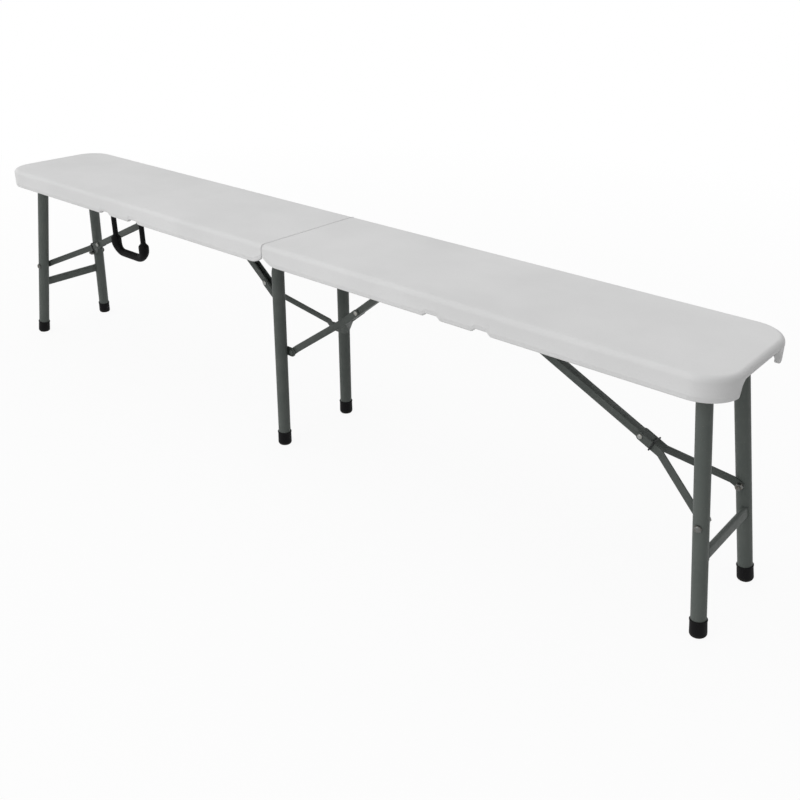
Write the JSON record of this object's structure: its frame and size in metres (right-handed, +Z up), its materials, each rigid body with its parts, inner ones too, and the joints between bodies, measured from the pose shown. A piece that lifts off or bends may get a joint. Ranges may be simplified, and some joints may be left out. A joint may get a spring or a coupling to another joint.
{
  "type": "folding bench",
  "caption": "Long narrow moulded bench that folds in half at its middle, on a middle leg frame and folding end legs, with locking knee braces and a swinging carrying handle on its side.",
  "frame": {"origin": "on the floor under the centre fold, mid-way between the near and far feet", "axes": "+X along the seat to the right half, +Y across it to the far side, +Z up; the handle hangs on the near side (-Y) of the left half (-X)"},
  "size_m": [1.8792, 0.26, 0.441],
  "materials": {
    "seat_plastic": "pale grey moulded polyethylene, finely pebbled on top, satin on the edges",
    "painted_steel": "dark green-grey powder coat, semi-gloss",
    "black_plastic": "black moulded plastic, satin",
    "zinc_steel": "bright zinc plate"
  },
  "bodies": {
    "right_half": {"right_seat": "seat_plastic", "right_rail_near": "painted_steel", "right_rail_far": "painted_steel", "right_hinge_bracket": "painted_steel", "right_end_brace_bracket": "painted_steel", "right_middle_brace_bracket": "painted_steel"},
    "left_half": {"left_seat": "seat_plastic", "left_rail_near": "painted_steel", "left_rail_far": "painted_steel", "left_hinge_bracket": "painted_steel", "left_end_brace_bracket": "painted_steel", "left_middle_brace_bracket": "painted_steel", "handle_bracket_outer": "painted_steel", "handle_bracket_inner": "painted_steel"},
    "middle_legs": {"middle_cross_tube": "painted_steel", "middle_leg_near": "painted_steel", "middle_leg_far": "painted_steel", "middle_cap_near": "black_plastic", "middle_cap_far": "black_plastic", "middle_leg_plate_near": "painted_steel", "middle_leg_plate_far": "painted_steel"},
    "right_end_legs": {"right_end_leg_near": "painted_steel", "right_end_leg_far": "painted_steel", "right_end_cap_near": "black_plastic", "right_end_cap_far": "black_plastic", "right_end_bolt_near": "zinc_steel", "right_end_bolt_far": "zinc_steel", "right_end_cross_tube": "painted_steel", "right_end_crossbar": "painted_steel"},
    "right_end_link": {"right_end_brace_link": "painted_steel", "right_end_knee_rivet": "zinc_steel"},
    "right_end_arms": {"right_end_brace_arm_near": "painted_steel", "right_end_brace_arm_far": "painted_steel"},
    "right_clip": {"right_lock_clip": "painted_steel"},
    "right_middle_link": {"right_middle_brace_link": "painted_steel", "right_middle_knee_pin": "zinc_steel"},
    "right_middle_arms": {"right_middle_brace_arm_near": "painted_steel", "right_middle_brace_arm_far": "painted_steel"},
    "left_end_legs": {"left_end_leg_near": "painted_steel", "left_end_leg_far": "painted_steel", "left_end_cap_near": "black_plastic", "left_end_cap_far": "black_plastic", "left_end_bolt_near": "zinc_steel", "left_end_bolt_far": "zinc_steel", "left_end_cross_tube": "painted_steel", "left_end_crossbar": "painted_steel"},
    "left_end_link": {"left_end_brace_link": "painted_steel", "left_end_knee_rivet": "zinc_steel"},
    "left_end_arms": {"left_end_brace_arm_near": "painted_steel", "left_end_brace_arm_far": "painted_steel"},
    "left_clip": {"left_lock_clip": "painted_steel"},
    "left_middle_link": {"left_middle_brace_link": "painted_steel", "left_middle_knee_pin": "zinc_steel"},
    "left_middle_arms": {"left_middle_brace_arm_near": "painted_steel", "left_middle_brace_arm_far": "painted_steel"},
    "handle": {"handle": "black_plastic"}
  },
  "joints": [
    {"name": "centre_fold", "type": "hinge", "parent": "right_half", "child": "left_half", "pos_m": [0, 0, 0.397], "axis": [0, -1, 0], "range_deg": [0, 180]},
    {"name": "middle_legs_fold", "type": "hinge", "parent": "right_half", "child": "middle_legs", "pos_m": [0, 0, 0.397], "axis": [0, -1, 0], "range_deg": [0, 90]},
    {"name": "right_end_legs_fold", "type": "hinge", "parent": "right_half", "child": "right_end_legs", "pos_m": [0.857, 0, 0.415], "axis": [0, 1, 0], "range_deg": [0, 99.44]},
    {"name": "right_end_link_turn", "type": "hinge", "parent": "right_half", "child": "right_end_link", "pos_m": [0.385, 0, 0.424], "axis": [0, -1, 0], "range_deg": [0, 24.41]},
    {"name": "right_end_knee", "type": "hinge", "parent": "right_end_link", "child": "right_end_arms", "pos_m": [0.74812, 0, 0.25371], "axis": [0, 1, 0], "range_deg": [0, 177.88]},
    {"name": "right_clip_slide", "type": "slide", "parent": "right_end_arms", "child": "right_clip", "axis": [0.9054, 0, -0.4246], "range_m": [0, 0.012]},
    {"name": "right_middle_link_turn", "type": "hinge", "parent": "right_half", "child": "right_middle_link", "pos_m": [0.266, 0, 0.415], "axis": [0, 1, 0], "range_deg": [0, 38.14]},
    {"name": "right_middle_arms_turn", "type": "hinge", "parent": "middle_legs", "child": "right_middle_arms", "pos_m": [0.016, 0, 0.208], "axis": [0, -1, 0], "range_deg": [0, 51.86]},
    {"name": "left_end_legs_fold", "type": "hinge", "parent": "left_half", "child": "left_end_legs", "pos_m": [-0.857, 0, 0.415], "axis": [0, -1, 0], "range_deg": [0, 99.44]},
    {"name": "left_end_link_turn", "type": "hinge", "parent": "left_half", "child": "left_end_link", "pos_m": [-0.385, 0, 0.424], "axis": [0, 1, 0], "range_deg": [0, 24.41]},
    {"name": "left_end_knee", "type": "hinge", "parent": "left_end_link", "child": "left_end_arms", "pos_m": [-0.74812, 0, 0.25371], "axis": [0, -1, 0], "range_deg": [0, 177.88]},
    {"name": "left_clip_slide", "type": "slide", "parent": "left_end_arms", "child": "left_clip", "axis": [-0.9054, 0, -0.4246], "range_m": [0, 0.012]},
    {"name": "left_middle_link_turn", "type": "hinge", "parent": "left_half", "child": "left_middle_link", "pos_m": [-0.266, 0, 0.415], "axis": [0, -1, 0], "range_deg": [0, 38.14]},
    {"name": "left_middle_arms_turn", "type": "hinge", "parent": "middle_legs", "child": "left_middle_arms", "pos_m": [-0.016, 0, 0.208], "axis": [0, 1, 0], "range_deg": [0, 51.86]},
    {"name": "handle_swing", "type": "hinge", "parent": "left_half", "child": "handle", "pos_m": [-0.4585, -0.108, 0.4], "axis": [-1, 0, 0], "range_deg": [0, 90]}
  ],
  "couplings": [
    {"joint": "middle_legs_fold", "follows": "centre_fold", "ratio": 0.5},
    {"joint": "right_end_legs_fold", "follows": "centre_fold", "ratio": 0.55244},
    {"joint": "right_end_link_turn", "follows": "centre_fold", "ratio": 0.13561},
    {"joint": "right_end_knee", "follows": "centre_fold", "ratio": 0.9882},
    {"joint": "right_middle_link_turn", "follows": "centre_fold", "ratio": 0.21187},
    {"joint": "right_middle_arms_turn", "follows": "centre_fold", "ratio": 0.28813},
    {"joint": "left_end_legs_fold", "follows": "centre_fold", "ratio": 0.55244},
    {"joint": "left_end_link_turn", "follows": "centre_fold", "ratio": 0.13561},
    {"joint": "left_end_knee", "follows": "centre_fold", "ratio": 0.9882},
    {"joint": "left_middle_link_turn", "follows": "centre_fold", "ratio": 0.21187},
    {"joint": "left_middle_arms_turn", "follows": "centre_fold", "ratio": 0.28813},
    {"joint": "handle_swing", "follows": "centre_fold", "ratio": 0.5}
  ]
}
